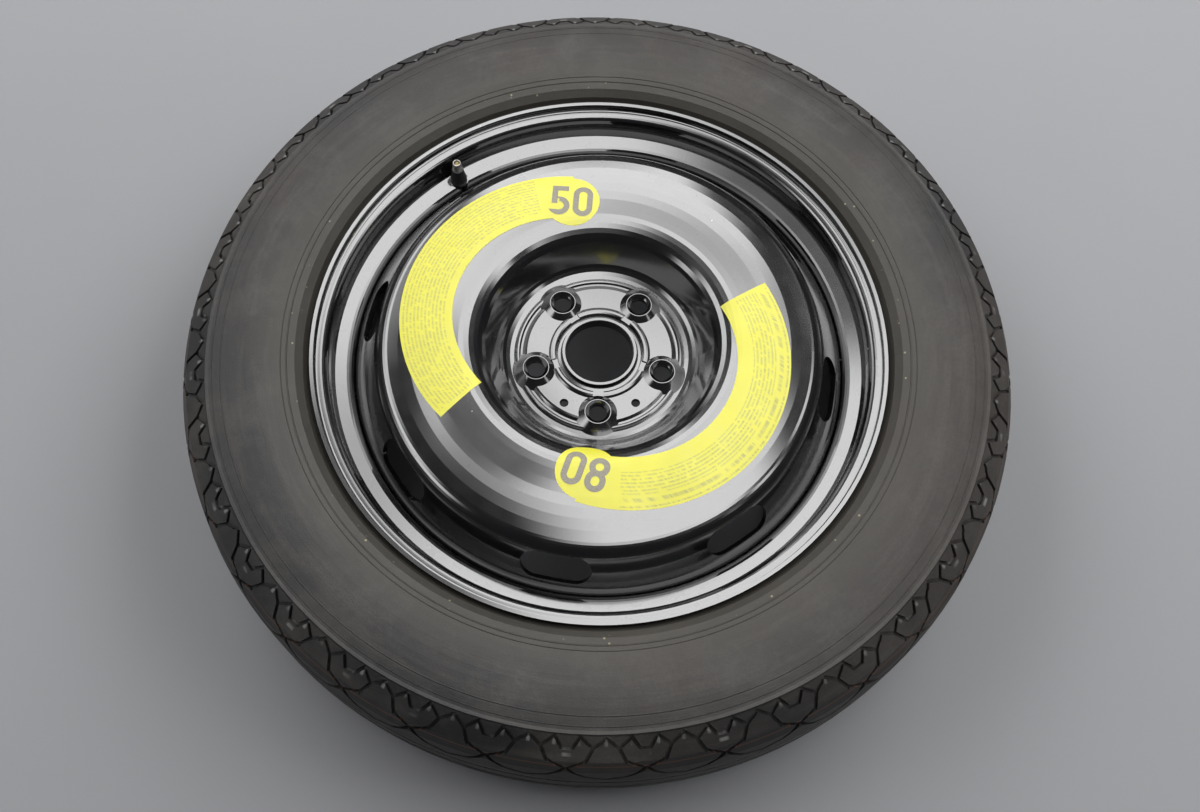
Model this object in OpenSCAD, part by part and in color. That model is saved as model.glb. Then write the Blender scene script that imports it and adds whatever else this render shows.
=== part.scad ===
// Space saver spare wheel, lying flat with its outboard face up.
// The origin is the centre of the wheel and +Z is the wheel's axis, towards the outboard face.

/* [Tyre] */
// Outside diameter of the tyre
tyre_od = 703.7; // [700:0.1:708]
// Width of the tyre at its widest
tyre_w = 145; // [143:0.5:150]
// Number of pattern repeats round the tread
tread_pitches = 36; // [34:1:40]
// Width of the fine shoulder grooves
shoulder_groove_w = 3; // [2:0.1:3.4]
// Depth of the fine shoulder grooves
shoulder_groove_d = 3.2; // [2:0.1:3.6]
// Width of the curved tread grooves
tread_groove_w = 3.6; // [2.5:0.1:4.5]
// Depth of the curved tread grooves and the two grooves round the tread
tread_groove_d = 3.8; // [3:0.1:5]
// Width of the two grooves round the tread
ring_groove_w = 6; // [4:0.5:8]
// Rubber left at the crown, from the air space to the tread
crown_t = 12; // [10:0.5:14]
// Thickness of the sidewall
sidewall_t = 6; // [5:0.5:8]

/* [Rim] */
// Diameter of the bead seat at the flange
seat_d = 462; // [461:0.1:463]
// Distance between the two flanges
rim_w = 101.6; // [98:0.1:105]
// Height of the flange above the bead seat
flange_h = 10.6; // [10.4:0.1:12]
// Thickness of the rim's steel
rim_t = 3; // [2.5:0.1:3.4]
// Inside radius of the well, where the disc is pressed in
well_r = 209.5; // [207:0.5:211]

/* [Disc] */
// Thickness of the disc's steel
disc_t = 4.2; // [3.6:0.1:4.8]
// Height of the hub's contact face above the wheel's middle plane
offset_h = 31; // [28:0.5:33]
// Height of the disc's crown above the wheel's middle plane
crown_h = 71; // [68:0.5:71.5]
// Radius of the hub, which the bowl's slope starts beside
hub_r = 71; // [69:0.5:73]
// Diameter of the centre bore
bore_d = 57.1; // [54:0.1:60]
// Diameter of the circle through the wheel bolts
bolt_pcd = 112; // [110:0.5:114]
// Number of wheel bolts
bolt_count = 5; // [4:1:5]
// Diameter of a wheel bolt hole
bolt_hole_d = 15; // [13:0.5:16]
// Diameter of a bolt seat's mouth
seat_mouth_d = 21; // [20:0.5:22]
// Number of vents round the outer slope
vent_count = 8; // [6:1:8]
// Length of a vent round the wheel
vent_l = 58; // [50:1:60]
// Width of a vent down the slope
vent_w = 27; // [22:1:28]

/* [Valve] */
// Angle of the valve round the wheel
valve_a = 128.6; // [127:0.1:130]
// Distance of the valve's axis from the well's inside wall
valve_in = 8.8; // [8.5:0.1:9.1]
// Height of the valve's tip above the wheel's middle plane
valve_tip_h = 57; // [55:0.5:62]
// Diameter of the valve's thread
valve_thread_d = 7.7; // [7.5:0.1:7.9]

/* [Labels] */
// Outer radius of a label's band
label_outer_r = 135.5; // [130:0.5:138]
// Inner radius of a label's band
label_inner_r = 91; // [88:0.5:95]
// Angle that a label's band covers
label_sweep = 138.8; // [120:0.2:145]
// Radius of a label's round end
lobe_r = 24.3; // [23:0.1:25]
// Thickness of a label
label_t = 0.25; // [0.15:0.05:0.4]
// Thickness of the printed figures
ink_t = 0.12; // [0.1:0.02:0.2]
// Height of the printed figures
figure_h = 30; // [26:0.5:32]

/* [Hidden] */
$fn = 96;

// Points along an arc from angle a0 to a1 in n steps
function arc(c, r, a0, a1, n = 8) = [for (i = [0:n]) c + r * [cos(a0 + (a1 - a0) * i / n), sin(a0 + (a1 - a0) * i / n)]];
// A list the other way round, and a list mirrored across the wheel's middle plane
function reversed(p) = [for (i = [len(p) - 1:-1:0]) p[i]];
function mirrored(p) = [for (i = [len(p) - 1:-1:0]) [p[i].x, -p[i].y]];
function unit(v) = v / norm(v);
function left_of(v) = [-v.y, v.x];
// The direction across a path at point i, long enough to keep a band's width round a corner
function across(p, i) =
    let (a = unit(p[min(i + 1, len(p) - 1)] - p[min(i, len(p) - 2)]), b = unit(p[max(i, 1)] - p[max(i - 1, 0)]),
         m = unit(left_of(a) + left_of(b)))
    m / max(m * left_of(a), 0.35);
// A path moved sideways by d, and a closed band of width w along a path
function beside(p, d) = [for (i = [0:len(p) - 1]) p[i] + d * across(p, i)];
function band(p, w) = concat(beside(p, w / 2), reversed(beside(p, -w / 2)));

// The tyre's outline: straight bands where the pattern is cut, then the sidewall and the bead
tyre_r = tyre_od / 2;
half_w = tyre_w / 2;
crown_edge = [tyre_r, 22];
tread_edge = [tyre_r - 2.7, 42];
shoulder_top = [tyre_r - 8.4, 54.5];
shoulder_end = [tyre_r - 25.9, half_w - 6];
sidewall_bow = 0.0043;
// Angle of one of the pattern's flat notches on the upper shoulder
pattern_a0 = 8.6;
seat_r = seat_d / 2;
flange_r = seat_r + flange_h;
// The sidewall is widest a little past the middle between its foot, beside the flange, and its top
wall_foot_r = flange_r + 11;
wall_head_r = shoulder_end.x - 12;
widest_r = wall_foot_r + 0.61 * (wall_head_r - wall_foot_r);
function sidewall(r) = [r, half_w - sidewall_bow * (r - widest_r) * (r - widest_r)];
flange_z = rim_w / 2;
heel_r = 5;
lip_r = 5.4;
lip_end = 4.6;
seat_taper = tan(5);
function seat_at(z) = seat_r - (flange_z - z) * seat_taper;
seat_top = flange_z - heel_r;
seat_low = 38.6;
lip_c = [flange_r - lip_r, flange_z + lip_r];
heel_c = [seat_at(seat_top) + heel_r, seat_top];
bead_t = 15;
// The stretch of the flange that the bead lies against, from the lip to the seat
flange_face = concat(arc(lip_c, lip_r, -45, -90, 3), arc(heel_c, heel_r, 90, 180, 6));
tyre_outer = concat([crown_edge, tread_edge, shoulder_top, shoulder_end],
                    [shoulder_end + [-1, 1.6], shoulder_end + [-2.4, 1.6], sidewall(shoulder_end.x - 3.6)],
                    [for (k = [0:8]) sidewall(wall_head_r + (wall_foot_r - wall_head_r) * k / 8)],
                    [[flange_r + 5.2, lip_c.y + 5.2], [flange_r + 3.4, lip_c.y + 1]]);
inner_foot = [seat_r + 24, half_w - sidewall_t - 7.5];
inner_head = [tyre_r - 30, half_w - sidewall_t - 7];
tyre_inner = concat([[seat_at(seat_low), seat_low], [seat_at(seat_low) + 2, seat_low - 2.4],
                     [seat_r + 11, flange_z - bead_t + 2], inner_foot],
                    [for (k = [1:5]) sidewall(inner_foot.x + (inner_head.x - inner_foot.x) * k / 6.5) - [0, sidewall_t]],
                    [inner_head, [tyre_r - crown_t - 6, 48], [tyre_r - crown_t - 1.5, 36],
                     [tyre_r - crown_t, 20]]);

// The rim's outline on the tyre's side, and inside, from the middle plane to the lip.
// A nearly flat ledge joins the well's wall to the bead seat.
wall_lean = 73;
wall_bend = 5.5;
bend_z = 21.5;
bend_c = [well_r + rim_t + wall_bend, bend_z];
hump = [seat_r, 36.2];
wall_dir = [sin(wall_lean), cos(wall_lean)];
wall_foot = bend_c + wall_bend * [-cos(wall_lean), sin(wall_lean)];
ledge_r = seat_r - 5.4;
wall_top = wall_foot + wall_dir * (ledge_r - wall_foot.x) / wall_dir.x;
rim_outer = concat([[well_r + rim_t, 0]], arc(bend_c, wall_bend, 180, 180 - wall_lean, 4),
                   [wall_top, hump - [1.6, 1.8], hump, [seat_at(seat_low), seat_low]],
                   reversed(arc(heel_c, heel_r, 90, 180, 6)), arc(lip_c, lip_r, -90, 0, 6),
                   [[flange_r, lip_c.y + lip_end]]);
rim_inner = concat([[flange_r - rim_t, lip_c.y + lip_end]], reversed(arc(lip_c, lip_r - rim_t, -90, 0, 6)),
                   arc(heel_c, heel_r + rim_t, 90, 180, 8),
                   [[seat_at(seat_low) - rim_t + 0.1, seat_low + 1], wall_top + rim_t * [-cos(wall_lean), sin(wall_lean)]],
                   reversed(arc(bend_c, wall_bend + rim_t, 180, 180 - wall_lean, 5)), [[well_r, 0]]);

// The disc's upper surface, from the hub out to the edge that is pressed into the well
bore_r = bore_d / 2;
trough_h = offset_h + disc_t;
slope_a = 57;
fillet_r = 14;
bowl_r = 26;
dome_r = 190;
edge_bend = 9;
// The crown's dome ends this far inside the well's wall
crown_in = 32.5;
// The flat stretch from the bowl's bend to the ring where the crown is highest
crown_flat = 6.2;
lip_w = 3;
hub_top = trough_h + 3;
collar_h = hub_top + 2;
lip_h = hub_top + 3.4;
collar_foot = 0.4;
collar_gap_w = 9;
edge_c = [well_r - edge_bend, 20.4];
// Each slope touches the round bend above it and the one below it: rise_foot and slope_foot are its lower ends
fillet_c = [hub_r + 1.8, trough_h + fillet_r];
rise_foot = fillet_c + fillet_r * [sin(slope_a), -cos(slope_a)];
bowl_z = crown_h - bowl_r;
bowl_c = [rise_foot.x + bowl_r * sin(slope_a) + (bowl_z + bowl_r * cos(slope_a) - rise_foot.y) / tan(slope_a), bowl_z];
crown_r = bowl_c.x + crown_flat;
crown_run = well_r - crown_in - crown_r;
dome_end = [crown_r + crown_run, crown_h - crown_run * crown_run / 2 / dome_r];
dome_a = asin(crown_run / dome_r);
slope_out = [sin(slope_a), cos(slope_a)];
slope_foot = edge_c + edge_bend * slope_out;
dome_out = [sin(dome_a), cos(dome_a)];
shoulder_r = (slope_foot - dome_end) * slope_out / (1 - dome_out * slope_out);
shoulder_c = dome_end - shoulder_r * dome_out;
disc_rise = concat(arc(fillet_c, fillet_r, -90, -90 + slope_a, 4), arc(bowl_c, bowl_r, 90 + slope_a, 90, 6));
disc_cap = [for (k = [0:6]) [crown_r + crown_run * k / 6, crown_h - pow(crown_run * k / 6, 2) / 2 / dome_r]];
disc_fall = concat(arc(shoulder_c, shoulder_r, 90 - dome_a - 6, 90 - slope_a, 6), arc(edge_c, edge_bend, 90 - slope_a, 0, 4));
disc_edge_z = -6;
disc_upper = concat(disc_rise, disc_cap, disc_fall, [[well_r, disc_edge_z]]);
hub_upper = [[bore_r, lip_h - 0.8], [bore_r + 0.8, lip_h], [bore_r + lip_w, lip_h], [bore_r + lip_w + 1.6, hub_top - 1.6],
             [bore_r + 6.8, hub_top - 2], [bore_r + 8.4, collar_h - 0.5], [bore_r + 9.6, collar_h],
             [bore_r + 11.4, collar_h], [bore_r + 12.8, collar_h - 0.6], [bore_r + 14.6, hub_top],
             [hub_r - 9.4, hub_top], [hub_r - 7.8, hub_top - 0.5], [hub_r - 5.4, hub_top - 2.1],
             [hub_r - 3.8, hub_top - 2.1], [hub_r - 2.4, hub_top - 0.9], [hub_r - 1.2, hub_top - 0.7],
             [hub_r - 0.2, hub_top - 1.3], [hub_r + 0.8, hub_top - 2.4]];
hub_lower = [[hub_r + 1, offset_h], [hub_r - 7, offset_h], [hub_r - 9, offset_h + 2], [bore_r + 11, offset_h + 2], [bore_r + 9, offset_h],
             [bore_r, offset_h]];

// Where the bolts, vents and labels sit
bolt_a0 = 55.4;
vent_a0 = 37.5;
vent_z = (dome_end.y + edge_c.y) / 2 + 3;
function slope_r(z) = slope_foot.x + (slope_foot.y - z) / tan(slope_a);
weld_sweep = 24;
boss_base_r = 15;
// Radius of a bolt seat's flank where it meets the hub's upper side, and how far its cone goes on below
seat_flank_r = 16.2;
seat_root = 4;
ball_r = 13;
seat_z = hub_top + 3.6;
ball_z = seat_z + sqrt(ball_r * ball_r - seat_mouth_d * seat_mouth_d / 4);
seat_rim_r = seat_mouth_d / 2 + 0.6;
seat_slope = (seat_flank_r - seat_rim_r) / (seat_z - hub_top);
pilot_hole_d = 7.5;
pilot_hole_r = 55.5;
pilot_hole_as = [240.5, 306];
label_centres = [[-33.5, 20], [23.5, -15.3]];
label_starts = [88.8, 254.4];
lobe_offset = label_outer_r - lobe_r - 2.2;
figure_w = 17;
figure_gap = 2.6;
stroke_w = 5;

// The valve, counted along its own axis from the pad that it stands on
pad_z = 30.6;
pad_r = 7.6;
pad_floor = 3;
boss_clear = 0.3;
boss_r = valve_in - boss_clear;
hollow_r = 7.1;
pocket_low = bend_z - 3;
valve_hole_r = 5.75;
valve_r = well_r + valve_in;
valve_root = [valve_r * cos(valve_a), valve_r * sin(valve_a), 0];
thread_r = valve_thread_d / 2;
neck_r = thread_r - 0.35;
rubber_top = pad_z + 17.5;
bulb_z = pad_z - pad_floor;
base_r = 7.4;
bulb_r = 6.9;
core_r = 2.6;
nut_l = 4.4;
nut_top = valve_tip_h - 1.2;
barrel_r = 1.75;
barrel_bore = 1.3;
barrel_l = 9;
barrel_z = nut_top - nut_l;
floor_t = 1;
throat_r = 0.85;
pin_r = 0.5;
pin_fit = 0.06;
collar_r = 1.15;
collar_t = 0.8;
collar_drop = 1.2;
cup_r = 1.6;
cup_t = 1.3;
seal_t = 0.6;
wire_r = 0.13;
spring_turns = 7;

module revolve(points) rotate_extrude($fn = 180) polygon(points);
module at_valve() translate(valve_root) children();
module round_wheel(count, a0 = 0) for (i = [0:count - 1]) rotate([0, 0, a0 + i * 360 / count]) children();

// One pattern groove, cut square to a straight band of the tyre's outline.
// Its path is a list of [angle, height] points, and the band runs from point a to point b.
module pattern_groove(a, b, path, w, d) {
    dir = unit(b - a);
    lean = atan2(a.x - b.x, b.y - a.y);
    mid = (a + b) / 2;
    flat = [for (p = path) let (along = (p.y - mid.y) / dir.y) [(mid.x + along * dir.x) * sin(p.x), along]];
    translate([mid.x, 0, mid.y]) rotate([0, -lean, 0]) rotate([90, 0, 90]) translate([0, 0, -d])
        linear_extrude(d + 3) polygon(band(flat, w));
}

// The grooves of one pattern repeat on the upper shoulder
module tread_pitch() {
    p = 360 / tread_pitches;
    tooth = p / 6;
    top = shoulder_end.y - 0.6;
    low = shoulder_end.y - 5.4;
    flat_low = shoulder_end.y - 6;
    meet = 46.5;
    // Zigzag of three teeth with one flat notch
    pattern_groove(shoulder_top, shoulder_end,
                   [[-3.5 * tooth, (top + low) / 2], [-3 * tooth, top], [-2 * tooth, low], [-tooth, top],
                    [-0.4 * tooth, flat_low], [0.4 * tooth, flat_low], [tooth, top], [2 * tooth, low],
                    [2.55 * tooth, (top + low) / 2 + 0.05 * (top - low)]], shoulder_groove_w, shoulder_groove_d);
    // Two grooves that curve together below the notch, upper part then lower part
    for (s = [-1, 1]) pattern_groove(shoulder_top, shoulder_end,
                   [[2 * s * tooth, low], [1.4 * s * tooth, shoulder_top.y - 0.6]],
                   shoulder_groove_w, shoulder_groove_d);
    pattern_groove(tread_edge, shoulder_top,
                   [[-1.4 * tooth, shoulder_top.y + 0.4], [0, meet], [1.4 * tooth, shoulder_top.y + 0.4]],
                   shoulder_groove_w, shoulder_groove_d);
    // Scallop from one meeting point to the next
    rotate([0, 0, p / 2]) pattern_groove(crown_edge, tread_edge,
                   [[-2.98 * tooth, meet + 0.8], [-1.6 * tooth, 32], [0, 26], [1.6 * tooth, 32],
                    [2.98 * tooth, meet + 0.8]], tread_groove_w, tread_groove_d);
}

module tyre() {
    color([0.22, 0.22, 0.21])
    difference() {
        revolve(concat(mirrored(tyre_outer), tyre_outer, flange_face, tyre_inner, mirrored(tyre_inner),
                       mirrored(flange_face)));
        for (s = [0, 1]) mirror([0, 0, s]) {
            round_wheel(tread_pitches, pattern_a0 + s * 180 / tread_pitches) tread_pitch();
            translate([0, 0, 9]) difference() {
                cylinder(r = tyre_r + 5, h = ring_groove_w, $fn = 180);
                translate([0, 0, -1]) cylinder(r = tyre_r - tread_groove_d, h = ring_groove_w + 2, $fn = 180);
            }
        }
    }
}

module rim() {
    color([0.03, 0.03, 0.035])
    difference() {
        union() {
            revolve(concat(rim_outer, rim_inner, mirrored(rim_inner), mirrored(rim_outer)));
            // Flat pad pressed into the ledge for the valve, and the wall that bulges round its foot
            at_valve() translate([0, 0, bulb_z]) cylinder(r = boss_r, h = pad_floor);
            intersection() {
                at_valve() translate([0, 0, pocket_low]) cylinder(r = boss_r, h = pad_z - pocket_low);
                cylinder(r = well_r + rim_t + 2, h = 100);
            }
        }
        at_valve() {
            translate([0, 0, bulb_z - 1]) cylinder(r = valve_hole_r, h = pad_floor + 2);
            translate([0, 0, pad_z]) cylinder(r = pad_r, h = 30);
            translate([0, 0, pocket_low - 1]) cylinder(r = hollow_r, h = bulb_z - pocket_low + 1);
        }
    }
}

module wheel_disc() {
    color([0.035, 0.035, 0.04])
    difference() {
        union() {
            difference() {
                revolve(concat(hub_upper, disc_upper, reversed(beside(disc_upper, -disc_t)), hub_lower));
                // Gaps in the collar beside each bolt
                round_wheel(bolt_count, bolt_a0)
                    translate([bore_r + 5, -collar_gap_w / 2, hub_top + collar_foot])
                        cube([bolt_pcd / 2 - bore_r, collar_gap_w, 10]);
            }
            // Pressed seat round each bolt hole
            round_wheel(bolt_count, bolt_a0) translate([bolt_pcd / 2, 0, hub_top - seat_root])
                cylinder(r1 = seat_flank_r + seat_root * seat_slope, r2 = seat_rim_r, h = seat_z - hub_top + seat_root);
        }
        round_wheel(bolt_count, bolt_a0) translate([bolt_pcd / 2, 0, 0]) {
            cylinder(d = bolt_hole_d, h = 100);
            translate([0, 0, ball_z]) sphere(r = ball_r);
            // Hollow under the seat
            translate([0, 0, offset_h - 1]) cylinder(r1 = boss_base_r - 1, r2 = bolt_hole_d / 2 + 1.5, h = 4.5);
        }
        for (a = pilot_hole_as) rotate([0, 0, a]) translate([pilot_hole_r, 0, 0]) cylinder(d = pilot_hole_d, h = 100);
        round_wheel(vent_count, vent_a0) translate([slope_r(vent_z), 0, vent_z]) rotate([0, slope_a, 0]) vent_cut();
    }
}

// A vent's hole, square to the slope
module vent_cut() {
    reach = (vent_l - vent_w) / 2;
    for (s = [-1, 1]) translate([0, s * reach, -9]) cylinder(d = vent_w, h = 18);
    translate([-vent_w / 2, -reach, -9]) cube([vent_w, 2 * reach, 18]);
}

// Weld fillets between the disc's edge and the well, between the vents
module weld_beads() {
    leg = disc_t - 0.2;
    color([0.05, 0.05, 0.055])
    round_wheel(vent_count, vent_a0 + 180 / vent_count - weld_sweep / 2) rotate_extrude(angle = weld_sweep, $fn = 180)
        polygon([[well_r, disc_edge_z], [well_r - leg, disc_edge_z], [well_r - 0.6, disc_edge_z - leg],
                 [well_r, disc_edge_z - leg]]);
}

module valve_body() {
    color([0.04, 0.04, 0.04])
    at_valve() rotate_extrude() polygon([[neck_r, rubber_top], [thread_r + 1.1, rubber_top - 0.4],
        [thread_r + 1.5, rubber_top - 2], [thread_r + 1.6, rubber_top - 5], [thread_r + 2.2, pad_z + 9],
        [thread_r + 3, pad_z + 5.5], [base_r, pad_z + 2], [base_r - 0.2, pad_z], [valve_hole_r, pad_z],
        [valve_hole_r, bulb_z], [bulb_r - 0.4, bulb_z], [bulb_r, bulb_z - 1.5], [bulb_r - 0.6, bulb_z - 5],
        [thread_r + 2.2, bulb_z - 9.5], [thread_r + 1.4, bulb_z - 10.5], [neck_r, bulb_z - 10.5]]);
}

// Brass tube with the outer thread, the core's bore and the cone that the gasket seals on
module valve_insert() {
    low = bulb_z - 11.5;
    cone_z = barrel_z - 3;
    color([0.75, 0.6, 0.28])
    at_valve() rotate_extrude() polygon([[core_r + 0.1, valve_tip_h], [thread_r - 0.5, valve_tip_h],
        [thread_r, valve_tip_h - 0.6], [thread_r, rubber_top], [neck_r, rubber_top], [neck_r, low], [2, low], [2, barrel_z - barrel_l - 4],
        [2, cone_z - 0.6], [core_r, cone_z], [core_r, valve_tip_h - 0.2]]);
}

// Threaded plug of the valve core, slotted for its key
module core_nut() {
    color([0.8, 0.66, 0.35])
    at_valve() difference() {
        translate([0, 0, nut_top - nut_l]) cylinder(r = core_r, h = nut_l);
        cylinder(r = pin_r + pin_fit, h = 100);
        for (s = [-1, 1]) translate([s * 2.2 - 0.9, -3, nut_top - 2]) cube([1.8, 6, 3]);
        translate([0, 0, nut_top - nut_l - 1]) cylinder(r = barrel_bore, h = 1 + collar_drop);
    }
}

module core_barrel() {
    color([0.78, 0.62, 0.3])
    at_valve() rotate_extrude() polygon([[barrel_bore, barrel_z], [barrel_r, barrel_z], [barrel_r, barrel_z - barrel_l],
        [throat_r, barrel_z - barrel_l], [throat_r, barrel_z - barrel_l + floor_t],
        [barrel_bore, barrel_z - barrel_l + floor_t]]);
}

// Sealing ring round the barrel, seated on the insert's cone
module core_gasket() {
    cone_z = barrel_z - 3;
    lean = (core_r - 2) / 0.6;
    color([0.75, 0.12, 0.1])
    at_valve() rotate_extrude() polygon([[barrel_r, cone_z - 0.45], [2 + 0.15 * lean, cone_z - 0.45],
        [core_r, cone_z], [core_r, cone_z + 1.2], [barrel_r, cone_z + 1.2]]);
}

// Height of the spring's foot, of its head under the pin's collar, and of the seal under the barrel
spring_foot = barrel_z - barrel_l + floor_t;
collar_z = barrel_z - 0.2 - collar_t;
seal_top = barrel_z - barrel_l;

function helix_point(i, n, r, z0, z1) = [r * cos(360 * spring_turns * i / n), r * sin(360 * spring_turns * i / n),
                                        z0 + (z1 - z0) * i / n];
module core_spring() {
    r = (collar_r + pin_r) / 2 + 0.1;
    steps = spring_turns * 14;
    sides = 6;
    z0 = spring_foot + wire_r;
    z1 = collar_z - wire_r;
    points = [for (i = [0:steps], j = [0:sides - 1])
        let (a = 360 * spring_turns * i / steps, b = 360 * j / sides, c = helix_point(i, steps, r, z0, z1))
        c + wire_r * [cos(b) * cos(a), cos(b) * sin(a), sin(b)]];
    skin = [for (i = [0:steps - 1], j = [0:sides - 1])
        let (k = (j + 1) % sides) [i * sides + j, (i + 1) * sides + j, (i + 1) * sides + k, i * sides + k]];
    ends = [[for (j = [0:sides - 1]) j], [for (j = [sides - 1:-1:0]) steps * sides + j]];
    color([0.7, 0.7, 0.7])
    at_valve() polyhedron(points, concat(skin, ends));
}

module core_pin() {
    color([0.82, 0.7, 0.4])
    at_valve() {
        translate([0, 0, seal_top - seal_t - cup_t]) cylinder(r = pin_r, h = valve_tip_h - 0.5 - seal_top + seal_t + cup_t);
        translate([0, 0, collar_z]) cylinder(r = collar_r, h = collar_t);
    }
}

// Brass cup on the pin's foot that holds the rubber seal
module pin_cup() {
    z0 = seal_top - seal_t - cup_t;
    color([0.78, 0.62, 0.3])
    at_valve() rotate_extrude() polygon([[pin_r, z0], [cup_r, z0], [cup_r, z0 + cup_t + 0.2],
        [cup_r - 0.2, z0 + cup_t + 0.2], [cup_r - 0.2, z0 + cup_t], [pin_r, z0 + cup_t]]);
}

module cup_seal() {
    color([0.06, 0.06, 0.06])
    at_valve() translate([0, 0, seal_top - seal_t]) difference() {
        cylinder(r = cup_r - 0.2, h = seal_t);
        translate([0, 0, -1]) cylinder(r = pin_r, h = seal_t + 2);
    }
}

// A skin that lies on the disc's upper surface, between two heights above it
module disc_skin(low, high) revolve(concat(beside(concat(disc_rise, disc_cap, disc_fall), low),
                                           reversed(beside(concat(disc_rise, disc_cap, disc_fall), high))));

// A label's outline: a band with a radial end and a round end
module label_shape(start) {
    difference() {
        intersection() {
            circle(r = label_outer_r, $fn = 180);
            polygon(concat([[0, 0]], arc([0, 0], 2 * label_outer_r, start, start + label_sweep, 6)));
        }
        circle(r = label_inner_r, $fn = 180);
    }
    rotate(start) translate([lobe_offset, 0]) circle(r = lobe_r);
}

module label(i) {
    color([0.93, 0.9, 0.12])
    intersection() {
        translate([0, 0, offset_h]) linear_extrude(crown_h) translate(label_centres[i]) label_shape(label_starts[i]);
        disc_skin(0, label_t);
    }
}
module label_50() label(0);
module label_80() label(1);

// A closed ring of the stroke's width, as tall as h and as wide as w
module ring_figure(w, h) difference() {
    ring_outline(w, h);
    ring_outline(w - 2 * stroke_w, h - 2 * stroke_w);
}
module ring_outline(w, h) {
    for (s = [-1, 1]) translate([0, s * (h - w) / 2]) circle(d = w);
    if (h > w) square([w, h - w], center = true);
}
module figure_0() ring_figure(figure_w, figure_h);
module figure_8() {
    lower = figure_h * 0.56;
    upper = figure_h - lower + stroke_w;
    translate([0, (lower - figure_h) / 2]) ring_figure(lower, lower);
    translate([0, (figure_h - upper) / 2]) ring_figure(upper - 1.5, upper);
}
module figure_5() {
    bowl = figure_h * 0.62;
    translate([-figure_w / 2 + 1, figure_h / 2 - stroke_w]) square([figure_w - 3, stroke_w]);
    translate([-figure_w / 2 + 1, -figure_h / 2 + bowl * 0.62]) square([stroke_w, figure_h - bowl * 0.62]);
    translate([-1, (bowl - figure_h) / 2]) difference() {
        circle(d = bowl);
        circle(d = bowl - 2 * stroke_w);
        translate([-bowl, -bowl * 0.22]) square([bowl, bowl * 0.62]);
    }
}

// Printed figures on each label's round end
module label_figures() {
    step = (figure_w + figure_gap) / 2;
    color([0.5, 0.47, 0.42])
    intersection() {
        translate([0, 0, offset_h]) linear_extrude(crown_h) for (i = [0, 1]) translate(label_centres[i])
            rotate(label_starts[i]) translate([lobe_offset, 0]) rotate(-90) {
                translate([-step, 0]) if (i == 0) figure_5(); else figure_8();
                translate([step, 0]) figure_0();
            }
        disc_skin(label_t, label_t + ink_t);
    }
}

tyre();
rim();
wheel_disc();
weld_beads();
valve_body();
valve_insert();
core_nut();
core_barrel();
core_gasket();
core_spring();
core_pin();
pin_cup();
cup_seal();
label_50();
label_80();
label_figures();
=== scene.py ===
"""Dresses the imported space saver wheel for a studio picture.

Lengths are in metres, and +Z is the wheel's axis.
"""
import math

import bmesh
import bpy
from mathutils import Matrix, Vector

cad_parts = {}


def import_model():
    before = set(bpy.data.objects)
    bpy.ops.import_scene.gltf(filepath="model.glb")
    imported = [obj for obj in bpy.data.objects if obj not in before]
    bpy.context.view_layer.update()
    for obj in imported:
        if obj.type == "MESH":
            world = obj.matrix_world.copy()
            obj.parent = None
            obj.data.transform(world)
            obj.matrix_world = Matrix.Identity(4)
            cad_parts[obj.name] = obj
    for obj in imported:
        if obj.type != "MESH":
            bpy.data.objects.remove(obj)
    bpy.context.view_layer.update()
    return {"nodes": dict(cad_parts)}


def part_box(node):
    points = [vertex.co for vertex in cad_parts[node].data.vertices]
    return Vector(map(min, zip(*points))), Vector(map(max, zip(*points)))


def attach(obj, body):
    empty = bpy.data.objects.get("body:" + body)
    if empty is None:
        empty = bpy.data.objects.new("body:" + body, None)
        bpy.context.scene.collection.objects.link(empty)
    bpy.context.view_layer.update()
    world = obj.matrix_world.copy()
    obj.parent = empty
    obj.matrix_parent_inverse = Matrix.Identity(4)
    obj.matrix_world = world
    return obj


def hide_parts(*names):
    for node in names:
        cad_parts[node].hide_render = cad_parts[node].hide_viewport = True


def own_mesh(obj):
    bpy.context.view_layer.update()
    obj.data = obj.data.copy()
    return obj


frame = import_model()
MM = 0.001

# The camera, fitted to the tyre, the flange and the bolt circle of the photograph
CAMERA_TARGET = Vector((2.9, -33.0, 0.0)) * MM
CAMERA_DISTANCE = 1.135
CAMERA_ELEVATION = math.radians(66.65)
CAMERA_ROLL = math.radians(3.07)
SENSOR_WIDTH = 36.0
CAMERA_LENS = 39.16

# Places on the wheel that the materials and the added pieces share
TYRE_LOW, TYRE_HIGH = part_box("tyre")
TYRE_R = TYRE_HIGH.x
VALVE_LOW, VALVE_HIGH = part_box("valve_insert")
VALVE_AXIS = (VALVE_LOW + VALVE_HIGH) / 2
RUBBER_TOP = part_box("valve_body")[1].z
# The tread's pattern: the angle of one repeat, and of the middle of its flat notch
TREAD_PITCH = math.radians(10.0)
TOOTH_START = math.radians(8.6)
# The heights of the teeth's peaks and of the flat notch
PEAK_Z, NOTCH_Z = 63.2 * MM, 57.8 * MM
# How far in from the tread the shoulder's teeth reach
SHOULDER_W = 40 * MM
# The sidewall is widest at this radius, and falls by this many millimetres per square millimetre away from it
WIDEST_R = 290
SIDEWALL_BOW = 0.0043
# The labels: the band's sweep and its radii round each label's own centre
LABEL_SWEEP = math.radians(138.8)
LABEL_INNER, LABEL_OUTER = 93.5 * MM, 133.8 * MM


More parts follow.
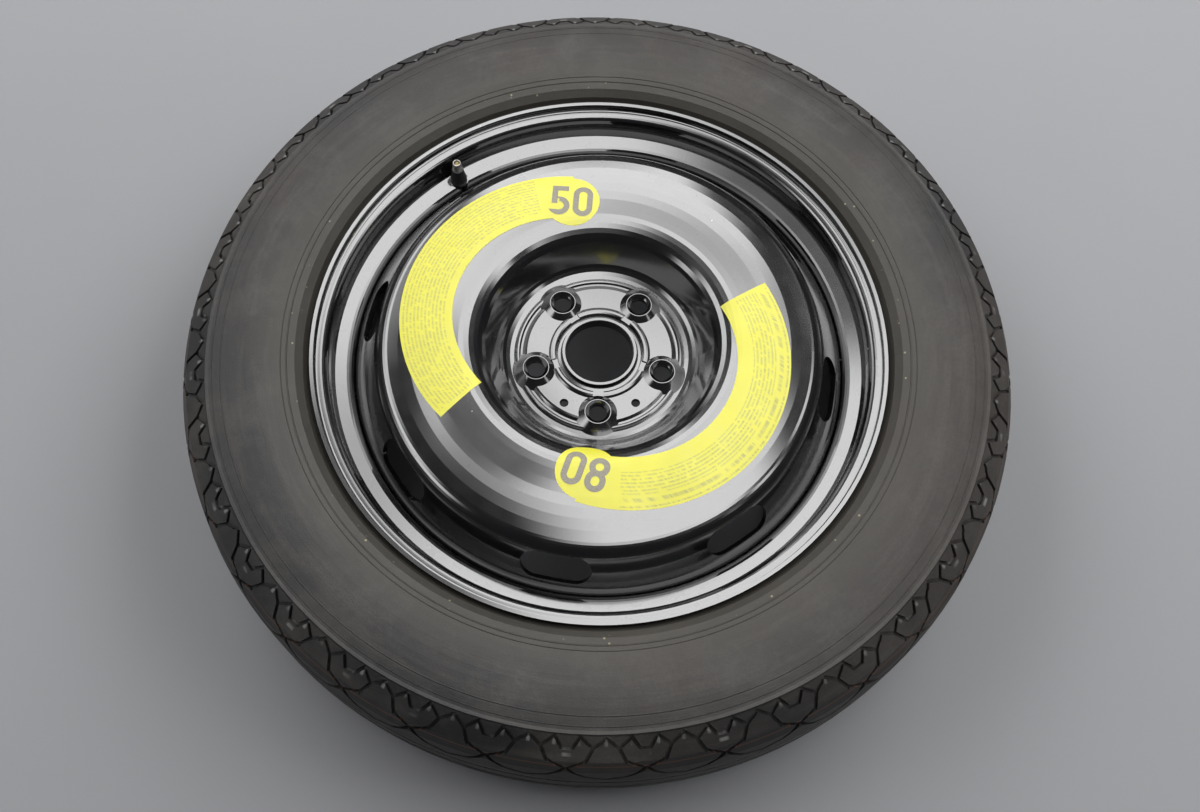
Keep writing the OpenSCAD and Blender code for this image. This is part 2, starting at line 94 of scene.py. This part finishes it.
class Nodes:
    """Short calls for the nodes of a tree."""

    def __init__(self, tree):
        self.tree = tree

    def add(self, kind, **settings):
        node = self.tree.nodes.new(kind)
        for key, value in settings.items():
            setattr(node, key, value)
        return node

    def set(self, socket, value):
        """Links a node's output to the socket, or writes a constant on it."""
        if isinstance(value, bpy.types.NodeSocket):
            self.tree.links.new(value, socket)
        elif socket.type == "RGBA":
            socket.default_value = (*value, 1.0)
        else:
            socket.default_value = value

    def math(self, operation, *values):
        node = self.add("ShaderNodeMath", operation=operation)
        for socket, value in zip(node.inputs, values):
            self.set(socket, value)
        return node.outputs[0]

    def span(self, value, low, high, to_low=0.0, to_high=1.0, smooth=False):
        """The value's stretch from low to high, spread over to_low to to_high and held beyond it."""
        bend = "SMOOTHSTEP" if smooth else "LINEAR"
        node = self.add("ShaderNodeMapRange", clamp=True, interpolation_type=bend)
        for name, number in (("From Min", low), ("From Max", high), ("To Min", to_low), ("To Max", to_high)):
            node.inputs[name].default_value = number
        self.set(node.inputs["Value"], value)
        return node.outputs["Result"]

    def add_linked(self, kind, value, **settings):
        node = self.add(kind, **settings)
        self.set(node.inputs[0], value)
        return node

    def split(self, vector):
        return self.add_linked("ShaderNodeSeparateXYZ", vector).outputs


class Material(Nodes):
    """A node material on one shader."""

    def __init__(self, name, colour, roughness, **constants):
        self.data = bpy.data.materials.new(name)
        self.data.use_nodes = True
        super().__init__(self.data.node_tree)
        self.shader = self.tree.nodes["Principled BSDF"]
        self.place = self.add("ShaderNodeTexCoord").outputs["Object"]
        self.set(self.shader.inputs["Base Color"], colour)
        self.set(self.shader.inputs["Roughness"], roughness)
        for socket, value in constants.items():
            self.set(self.shader.inputs[socket.replace("_", " ")], value)

    def noise(self, scale, detail=3.0, vector=None, roughness=0.5):
        node = self.add("ShaderNodeTexNoise")
        self.set(node.inputs["Vector"], vector or self.place)
        for name, value in (("Scale", scale), ("Detail", detail), ("Roughness", roughness)):
            node.inputs[name].default_value = value
        return node.outputs["Fac"]

    def specks(self, scale, size, share):
        """1 inside small round specks in a share of a grid's cells, 0 elsewhere."""
        node = self.add("ShaderNodeTexVoronoi", feature="F1")
        self.set(node.inputs["Vector"], self.place)
        node.inputs["Scale"].default_value = scale
        chosen = self.math("LESS_THAN", self.split(node.outputs["Color"])[0], share)
        return self.math("MULTIPLY", chosen, self.span(node.outputs["Distance"], size, size * 0.5))

    def stripe(self, value, middle, half_width, blur=0.3):
        """1 where the value is within half_width of the middle, 0 elsewhere."""
        away = self.math("ABSOLUTE", self.math("SUBTRACT", value, middle))
        return self.span(away, half_width * (1 + blur), half_width * (1 - blur))

    def mix(self, factor, first, second):
        node = self.add("ShaderNodeMix", data_type="RGBA")
        for name, value in (("Factor_Float", factor), ("A_Color", first), ("B_Color", second)):
            self.set(next(socket for socket in node.inputs if socket.identifier == name), value)
        return next(socket for socket in node.outputs if socket.identifier == "Result_Color")

    def turned(self, centre, angle):
        """Object coordinates seen from a centre, turned so that the angle lies along +X."""
        node = self.add("ShaderNodeMapping", vector_type="TEXTURE")
        self.set(node.inputs["Vector"], self.place)
        node.inputs["Location"].default_value = (*centre, 0.0)
        node.inputs["Rotation"].default_value = (0.0, 0.0, angle)
        return node.outputs["Vector"]

    def polar(self, vector):
        """Distance from the Z axis, angle round it, and height."""
        x, y, z = self.split(vector)
        square = self.math("ADD", self.math("MULTIPLY", x, x), self.math("MULTIPLY", y, y))
        return self.math("SQRT", square), self.math("ARCTAN2", y, x), z

    def bump(self, height, distance, strength=1.0):
        node = self.add("ShaderNodeBump")
        node.inputs["Strength"].default_value = strength
        node.inputs["Distance"].default_value = distance
        self.set(node.inputs["Height"], height)
        self.set(self.shader.inputs["Normal"], node.outputs["Normal"])


def gloss_paint():
    """Black dip paint: deep gloss with a faint orange peel, some dust and a few pale specks."""
    paint = Material("black_paint", (0.005, 0.005, 0.006), 0.2, Coat_Weight=1.0, Coat_IOR=1.9)
    paint.shader.inputs["Specular IOR Level"].default_value = 0.3
    dust = paint.span(paint.noise(9.0, 6.0, roughness=0.65), 0.45, 0.75)
    grime = paint.mix(dust, (0.0035, 0.0035, 0.004), (0.007, 0.0068, 0.0065))
    specks = paint.specks(110.0, 0.10, 0.012)
    paint.set(paint.shader.inputs["Base Color"], paint.mix(specks, grime, (0.55, 0.54, 0.50)))
    paint.set(paint.shader.inputs["Roughness"], paint.span(paint.noise(60.0, 4.0), 0.3, 0.7, 0.20, 0.30))
    paint.set(paint.shader.inputs["Coat Roughness"], paint.span(dust, 0.0, 1.0, 0.07, 0.12))
    paint.bump(paint.noise(300.0, 2.0), 0.000012)
    return paint.data


def tooth_tip_glints(skin, angle, height):
    """1 on small painted glints, pale highlights where light catches the groove edges, at the peaks and at
    the flat notch of each repeat of the shoulder's teeth.
    """
    turn = skin.math("DIVIDE", skin.math("SUBTRACT", angle, TOOTH_START), TREAD_PITCH)
    away = skin.math("ABSOLUTE", skin.math("SUBTRACT", skin.math("FRACT", skin.math("ADD", turn, 50.5)), 0.5))
    peaks = skin.math("MAXIMUM", skin.stripe(away, 1 / 6, 0.022), skin.stripe(away, 0.5, 0.022))
    tips = skin.math("MULTIPLY", peaks, skin.stripe(height, PEAK_Z, 1.2 * MM))
    notch = skin.math("MULTIPLY", skin.stripe(away, 0.0, 0.055), skin.stripe(height, NOTCH_Z, 0.8 * MM))
    # Noise that leaves out the painted glints on some teeth
    glints_shown = skin.span(skin.noise(45.0, 2.0), 0.44, 0.56)
    return skin.math("MULTIPLY", skin.math("MAXIMUM", tips, notch), glints_shown)


def rubber():
    """Dusty tyre rubber: brown and grey blotches, a fine grain, a coloured line and dabs on the tread, and
    painted glints on the shoulder's teeth.
    """
    line_z, dab_z, fleck_r = 49.5 * MM, 33 * MM, 254.5 * MM
    skin = Material("tyre_rubber", (0.04, 0.04, 0.04), 0.8)
    skin.shader.inputs["Specular IOR Level"].default_value = 0.25
    radius, angle, height = skin.polar(skin.place)
    blotches = skin.span(skin.noise(5.0, 5.0, roughness=0.6), 0.35, 0.65)
    smears = skin.span(skin.noise(14.0, 6.0, roughness=0.7), 0.46, 0.74)
    round_tyre = skin.add("ShaderNodeCombineXYZ")
    for k, (value, scale) in enumerate(((angle, 2.2), (radius, 70.0), (height, 25.0))):
        skin.set(round_tyre.inputs[k], skin.math("MULTIPLY", value, scale))
    rubbed = skin.span(skin.noise(1.0, 6.0, vector=round_tyre.outputs[0], roughness=0.7), 0.50, 0.72)
    speckle = skin.span(skin.noise(330.0, 3.0, roughness=0.8), 0.30, 0.70)
    colour = skin.mix(blotches, (0.020, 0.0205, 0.022), (0.044, 0.038, 0.033))
    colour = skin.mix(skin.math("MULTIPLY", smears, 0.6), colour, (0.092, 0.084, 0.075))
    colour = skin.mix(skin.math("MULTIPLY", rubbed, 0.35), colour, (0.105, 0.094, 0.082))
    colour = skin.mix(skin.math("MULTIPLY", speckle, 0.35), colour, (0.018, 0.018, 0.018))
    near_bead = skin.span(radius, 0.292, 0.262)
    colour = skin.mix(skin.math("MULTIPLY", near_bead, 0.55), colour, (0.060, 0.055, 0.044))
    on_tread = skin.span(radius, TYRE_R - 0.016, TYRE_R - 0.010)
    line = skin.math("MULTIPLY", skin.stripe(height, line_z, 0.5 * MM), on_tread)
    colour = skin.mix(skin.math("MULTIPLY", line, 0.45), colour, (0.26, 0.10, 0.05))
    dab_band = skin.math("MULTIPLY", skin.stripe(height, dab_z, 5 * MM), on_tread)
    dabs = skin.math("MULTIPLY", skin.specks(60.0, 0.12, 0.16), dab_band)
    colour = skin.mix(skin.math("MULTIPLY", dabs, 0.7), colour, (0.50, 0.48, 0.20))
    bead_band = skin.stripe(radius, fleck_r, 3.5 * MM)
    flecks = skin.math("MULTIPLY", skin.specks(260.0, 0.30, 0.07), bead_band)
    colour = skin.mix(skin.math("MULTIPLY", flecks, 0.8), colour, (0.42, 0.39, 0.22))
    # Painted highlights: pale glints at the shoulder's tooth peaks and notches, where light catches the
    # groove edges
    on_shoulder = skin.math("GREATER_THAN", radius, TYRE_R - SHOULDER_W)
    painted_glints = skin.math("MULTIPLY", tooth_tip_glints(skin, angle, height), on_shoulder)
    colour = skin.mix(skin.math("MULTIPLY", painted_glints, 0.75), colour, (0.26, 0.26, 0.25))
    skin.set(skin.shader.inputs["Base Color"], colour)
    skin.set(skin.shader.inputs["Roughness"], skin.span(blotches, 0.0, 1.0, 0.46, 0.60))
    mould = skin.math("SINE", skin.math("MULTIPLY", radius, 2400.0))
    grain = skin.math("ADD", skin.noise(900.0, 3.0), skin.math("MULTIPLY", mould, 0.02))
    wear = skin.math("MULTIPLY", skin.noise(60.0, 6.0), 1.8)
    skin.bump(skin.math("ADD", grain, wear), 0.0004, 0.6)
    return skin.data


def film(name, centre, start, row_pitch, stroke, print_r, bold_r=1.0):
    """Yellow label film with rows of plain printed strokes outside print_r, bolder ones outside bold_r."""
    # Bare stretches, in radians, beside the label's figures and at its other end, and the print's soft ends
    bare_head, bare_end, blur = 0.26, 0.035, 0.005
    label = Material(name, (0.93, 0.88, 0.05), 0.45)
    spot = label.turned(centre, math.radians(start) + LABEL_SWEEP / 2)
    radius, angle, _ = label.polar(spot)
    bold = label.math("GREATER_THAN", radius, bold_r)
    pitch = label.math("ADD", row_pitch, label.math("MULTIPLY", bold, row_pitch))
    row = label.math("DIVIDE", label.math("SUBTRACT", radius, LABEL_INNER), pitch)
    line = label.stripe(label.math("FRACT", row), 0.5, stroke, 0.35)
    words = label.add("ShaderNodeCombineXYZ")
    letters = label.math("DIVIDE", label.math("MULTIPLY", angle, radius), pitch)
    label.set(words.inputs[0], label.math("MULTIPLY", letters, 1.3))
    label.set(words.inputs[1], label.math("MULTIPLY", label.math("FLOOR", row), 9.7))
    words_on = label.span(label.noise(0.55, 3.0, vector=words.outputs[0], roughness=0.7), 0.42, 0.47)
    letters_on = label.span(label.noise(4.2, 2.0, vector=words.outputs[0], roughness=0.8), 0.36, 0.56)
    marks = label.math("MULTIPLY", line, label.math("MULTIPLY", words_on, letters_on))
    head, end = -LABEL_SWEEP / 2 + bare_head, LABEL_SWEEP / 2 - bare_end
    for value, low, high in ((angle, head, head + blur), (angle, end + blur, end),
                             (radius, print_r, print_r + 0.2 * MM),
                             (radius, LABEL_OUTER, LABEL_OUTER - 0.2 * MM)):
        marks = label.math("MULTIPLY", marks, label.span(value, low, high))
    faded = label.mix(label.span(label.noise(30.0, 3.0), 0.35, 0.7), (0.93, 0.88, 0.045), (0.88, 0.84, 0.07))
    label.set(label.shader.inputs["Base Color"],
              label.mix(label.math("MULTIPLY", marks, 0.62), faded, (0.36, 0.35, 0.12)))
    label.set(label.shader.inputs["Roughness"], label.span(label.noise(50.0, 3.0), 0.3, 0.7, 0.42, 0.55))
    label.bump(label.noise(130.0, 2.0), 0.00004)
    return label.data


def ink():
    """Matt grey ink of the labels' figures."""
    inked = Material("label_print", (0.30, 0.27, 0.20), 0.6)
    grain = inked.span(inked.noise(700.0, 3.0), 0.35, 0.7)
    inked.set(inked.shader.inputs["Base Color"], inked.mix(grain, (0.26, 0.24, 0.19), (0.36, 0.33, 0.25)))
    inked.bump(grain, 0.00002)
    return inked.data


def metal(name, dark, bright, low, high):
    """Turned metal with a faint dull film."""
    turned = Material(name, bright, low, Metallic=1.0)
    dull = turned.span(turned.noise(500.0, 4.0), 0.3, 0.7)
    turned.set(turned.shader.inputs["Base Color"], turned.mix(dull, dark, bright))
    turned.set(turned.shader.inputs["Roughness"], turned.span(dull, 0.0, 1.0, high, low))
    turned.bump(turned.noise(2500.0, 2.0), 0.00001)
    return turned.data


def soft(name, dark, bright, roughness):
    """Moulded rubber of the valve's small parts."""
    moulded = Material(name, dark, roughness)
    bloom = moulded.span(moulded.noise(350.0, 5.0), 0.35, 0.7)
    moulded.set(moulded.shader.inputs["Base Color"], moulded.mix(bloom, dark, bright))
    dulled = moulded.span(bloom, 0.0, 1.0, roughness, roughness + 0.15)
    moulded.set(moulded.shader.inputs["Roughness"], dulled)
    moulded.bump(moulded.noise(1800.0, 3.0), 0.00004)
    return moulded.data


def dress(material, *nodes):
    """Gives CAD nodes a material."""
    for node in nodes:
        for slot in frame["nodes"][node].material_slots:
            slot.material = material


RUBBER = rubber()
PAINT = gloss_paint()
BRASS = metal("brass", (0.09, 0.07, 0.035), (0.20, 0.16, 0.08), 0.30, 0.48)
VALVE_METAL = metal("valve_metal", (0.10, 0.097, 0.09), (0.30, 0.29, 0.27), 0.28, 0.45)
dress(RUBBER, "tyre")
dress(PAINT, "rim", "wheel_disc", "weld_beads")
dress(BRASS, "core_nut", "core_barrel", "core_pin", "pin_cup")
dress(VALVE_METAL, "valve_insert")
SPRING_STEEL = metal("spring_steel", (0.42, 0.42, 0.43), (0.66, 0.66, 0.67), 0.22, 0.35)
dress(SPRING_STEEL, "core_spring")
dress(soft("valve_rubber", (0.012, 0.012, 0.012), (0.026, 0.025, 0.024), 0.45), "valve_body", "cup_seal")
dress(soft("gasket", (0.42, 0.035, 0.03), (0.5, 0.06, 0.045), 0.5), "core_gasket")
dress(film("label_yellow_50", (-0.0335, 0.0200), 88.8, 3.1 * MM, 0.25, 96.5 * MM), "label_50")
dress(film("label_yellow_80", (0.0235, -0.0153), 254.4, 3.1 * MM, 0.25, 104.0 * MM, bold_r=122.0 * MM),
      "label_80")
dress(ink(), "label_figures")


# Pieces added to the CAD's own

def piece(name, mesh, material, body):
    """Adds a mesh as a piece of the object."""
    made = bpy.data.objects.new(name, mesh)
    bpy.context.scene.collection.objects.link(made)
    mesh.materials.append(material)
    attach(made, body)
    return made


def lathe(name, rings, segments=240, centre=(0.0, 0.0)):
    """A mesh of closed (radius, height) outlines turned round an upright axis."""
    mesh = bpy.data.meshes.new(name)
    made = bmesh.new()
    for outline in rings:
        turns = []
        for step in range(segments):
            angle = 2 * math.pi * step / segments
            across, along = math.cos(angle), math.sin(angle)
            turns.append([made.verts.new((centre[0] + r * across, centre[1] + r * along, z))
                          for r, z in outline])
        for a, b in zip(turns, turns[1:] + turns[:1]):
            for k in range(len(outline)):
                following = (k + 1) % len(outline)
                face = made.faces.new((a[k], b[k], b[following], a[following]))
                face.smooth = True
    bmesh.ops.recalc_face_normals(made, faces=made.faces)
    made.to_mesh(mesh)
    made.free()
    return mesh


def sidewall_height(radius):
    """Height of the tyre's sidewall, as the CAD's outline has it."""
    return TYRE_HIGH.z - SIDEWALL_BOW * (radius / MM - WIDEST_R) ** 2 * MM


def ridge(radius, width, rise, side):
    """Outline of a low round ridge that stands on the sidewall, with its root sunk in the rubber."""
    root, keel = 0.2 * MM, 0.8 * MM
    outline = []
    for step in range(7):
        across = -1 + step / 3
        r = radius + across * width / 2
        outline.append((r, side * (sidewall_height(r) - root + (rise + root) * (1 - across ** 2))))
    outline.append((radius, side * (sidewall_height(radius) - keel)))
    return outline


# Radius, width and height of each ridge in millimetres
SIDEWALL_RIDGES = ((259, 1.6, 0.5), (263.5, 1.0, 0.4), (312, 1.4, 0.35), (319.5, 1.0, 0.35))
ridges = lathe("sidewall_ridges", [ridge(r * MM, width * MM, rise * MM, side)
                                   for r, width, rise in SIDEWALL_RIDGES for side in (1, -1)])
piece("sidewall_ridges", ridges, RUBBER, "wheel")


def thread_ring(height):
    """Outline of one turn of the valve's thread, as a ring."""
    sunk, half_width, rise = 0.02 * MM, 0.28 * MM, 0.16 * MM
    root = (VALVE_HIGH.x - VALVE_LOW.x) / 2 - sunk
    return [(root, height - half_width), (root + rise, height), (root, height + half_width)]


# The thread's pitch, and its plain stretch at the valve's mouth
THREAD_PITCH = 0.8 * MM
THREAD_END = 1.2 * MM
turn_count = int((VALVE_HIGH.z - THREAD_END - RUBBER_TOP) / THREAD_PITCH)
thread_rings = [thread_ring(RUBBER_TOP + (k + 0.6) * THREAD_PITCH) for k in range(turn_count)]
thread = lathe("valve_thread", thread_rings, 48, (VALVE_AXIS.x, VALVE_AXIS.y))
piece("valve_thread", thread, VALVE_METAL, "wheel")

# The core's spring is shut in between the barrel and the pin's cup, and in the real valve it shortens as the
# pin is pressed. Here it is copied into a piece with its own mesh, and the CAD's spring is hidden.
wire = frame["nodes"]["core_spring"].data.copy()
wire.materials.clear()
spring = piece("short_spring", wire, SPRING_STEEL, "wheel")
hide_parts("core_spring")
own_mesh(spring)


# Studio

def studio_material(name, colour, roughness):
    """A plain matt surface with faint clouds."""
    made = Material(name, colour, roughness)
    shade = made.span(made.noise(2.5, 4.0), 0.3, 0.7)
    made.set(made.shader.inputs["Base Color"], made.mix(shade, colour, [0.96 * c for c in colour]))
    return made.data


def floor():
    """A pale square floor under the tyre."""
    half = 3.2
    corners = [(-half, -half, 0), (half, -half, 0), (half, half, 0), (-half, half, 0)]
    mesh = bpy.data.meshes.new("floor")
    mesh.from_pydata(corners, [], [(0, 1, 2, 3)])
    mesh.materials.append(studio_material("floor", (0.375, 0.38, 0.395), 0.8))
    made = bpy.data.objects.new("floor", mesh)
    made.location.z = TYRE_LOW.z
    bpy.context.scene.collection.objects.link(made)


def soften(light, fade, dips):
    """Fades a lamp out towards its edges, over the given shares of its width and of its length.

    A dip darkens an oval. It has its middle, from the lamp's centre, and its half widths, both in metres, its
    depth, and the share of it that is dark all over.
    """
    light.use_nodes = True
    nodes = Nodes(light.node_tree)
    place = nodes.add("ShaderNodeNewGeometry").outputs["Parametric"]
    sizes = (light.size, light.size_y)
    strength = 1.0
    for axis in range(2):
        away = nodes.math("ABSOLUTE", nodes.math("SUBTRACT", nodes.split(place)[axis], 0.5))
        edge = nodes.span(away, 0.5, 0.5 - fade[axis], smooth=True)
        strength = nodes.math("MULTIPLY", edge, strength)
    for middle, half, depth, core in dips:
        spot = nodes.add_linked("ShaderNodeMapping", place, vector_type="TEXTURE")
        spot.inputs["Location"].default_value = (*(0.5 + m / s for m, s in zip(middle, sizes)), 0.0)
        spot.inputs["Scale"].default_value = (*(h / s for h, s in zip(half, sizes)), 1.0)
        length = nodes.add_linked("ShaderNodeVectorMath", spot.outputs[0], operation="LENGTH")
        dimmed = nodes.span(length.outputs["Value"], core, 1.0, 1.0 - depth, 1.0, smooth=True)
        strength = nodes.math("MULTIPLY", strength, dimmed)
    nodes.set(nodes.tree.nodes["Emission"].inputs["Strength"], strength)


def panel(name, centre, aim, width, length, radiance, glossy_only=False, diffuse_only=False, along=(0, 1, 0),
          fade=None, dips=()):
    """A rectangular lamp. Its length lies along the given direction, and radiance is that of its middle."""
    light = bpy.data.lights.new(name, "AREA")
    light.shape = "RECTANGLE"
    light.size, light.size_y = width, length
    light.energy = radiance * math.pi * width * length
    if fade:
        soften(light, fade, dips)
    lamp = bpy.data.objects.new(name, light)
    back = (Vector(centre) - Vector(aim)).normalized()
    side = Vector(along).cross(back).normalized()
    lamp.matrix_world = Matrix((side, back.cross(side), back)).transposed().to_4x4()
    lamp.location = centre
    lamp.visible_camera = False
    lamp.visible_diffuse = not glossy_only
    lamp.visible_glossy = not diffuse_only
    bpy.context.scene.collection.objects.link(lamp)


def world():
    """Dim grey surroundings, shown pale to the camera."""
    made = bpy.data.worlds.new("studio")
    bpy.context.scene.world = made
    made.use_nodes = True
    tree = made.node_tree
    background = tree.nodes["Background"]
    path = tree.nodes.new("ShaderNodeLightPath")
    shade = tree.nodes.new("ShaderNodeMix")
    shade.data_type = "RGBA"
    colours = {"A_Color": (0.05, 0.05, 0.055, 1), "B_Color": (0.74, 0.75, 0.77, 1)}
    for socket in shade.inputs:
        if socket.identifier in colours:
            socket.default_value = colours[socket.identifier]
    tree.links.new(path.outputs["Is Camera Ray"], shade.inputs[0])
    result = next(socket for socket in shade.outputs if socket.identifier == "Result_Color")
    tree.links.new(result, background.inputs["Color"])


def camera():
    """The fitted camera."""
    data = bpy.data.cameras.new("camera")
    data.sensor_fit = "HORIZONTAL"
    data.sensor_width = SENSOR_WIDTH
    data.lens = CAMERA_LENS
    made = bpy.data.objects.new("camera", data)
    back = Vector((0, -math.cos(CAMERA_ELEVATION), math.sin(CAMERA_ELEVATION)))
    right, up = Vector((1, 0, 0)), Vector((0, math.sin(CAMERA_ELEVATION), math.cos(CAMERA_ELEVATION)))
    side = math.cos(CAMERA_ROLL) * right + math.sin(CAMERA_ROLL) * up
    over = -math.sin(CAMERA_ROLL) * right + math.cos(CAMERA_ROLL) * up
    made.matrix_world = Matrix((side, over, back)).transposed().to_4x4()
    made.location = CAMERA_TARGET + CAMERA_DISTANCE * back
    bpy.context.scene.collection.objects.link(made)
    bpy.context.scene.camera = made


# Lamps for matt surfaces only hang above the cards, which show in the gloss only.
# STRIP is the direction of the big card's length.
CARD_Z = 1.85
SOFT_Z = 2.1
STRIP = (-0.11, 0.994, 0.0)
floor()
world()
camera()
for side_name, side, strip, fill in (("left", -1, 2.75, 0.4), ("right", 1, 3.4, 1.0)):
    panel("strip_" + side_name, (side * 1.6, 1.4, SOFT_Z), (0.0, 0.9, 0.0), 1.5, 3.8, strip,
          diffuse_only=True)
    panel("fill_" + side_name, (side * 2.6, 0.7, 0.9), (0.0, 0.0, 0.0), 1.4, 5.0, fill, diffuse_only=True)
# Dark places in the big card's reflection
NEAR_LEFT_CORNER = ((-1.32, -2.04), (1.30, 1.45), 1.0, 0.5)
LEFT_SPOT = ((-0.50, -0.83), (0.45, 0.50), 0.9, 0.5)
WIDE_SPOT = ((0.35, -0.11), (0.80, 0.50), 0.45, 0.2)
panel("overhead_card", (-0.015, 1.375, CARD_Z), (-0.015, 1.375, 0.0), 2.52, 5.17, 5.2, glossy_only=True,
      along=STRIP, fade=(0.14, 0.10), dips=(NEAR_LEFT_CORNER, LEFT_SPOT, WIDE_SPOT))
panel("left_card", (-1.6, 0.45, 1.2), (0.0, 0.0, 0.0), 1.0, 4.2, 4.4, glossy_only=True, fade=(0.4, 0.2))
panel("right_card", (1.85, 0.5, 1.75), (0.0, 0.0, 0.0), 0.42, 4.4, 4.6, glossy_only=True, fade=(0.4, 0.2))
bpy.context.scene.view_settings.view_transform = "Standard"
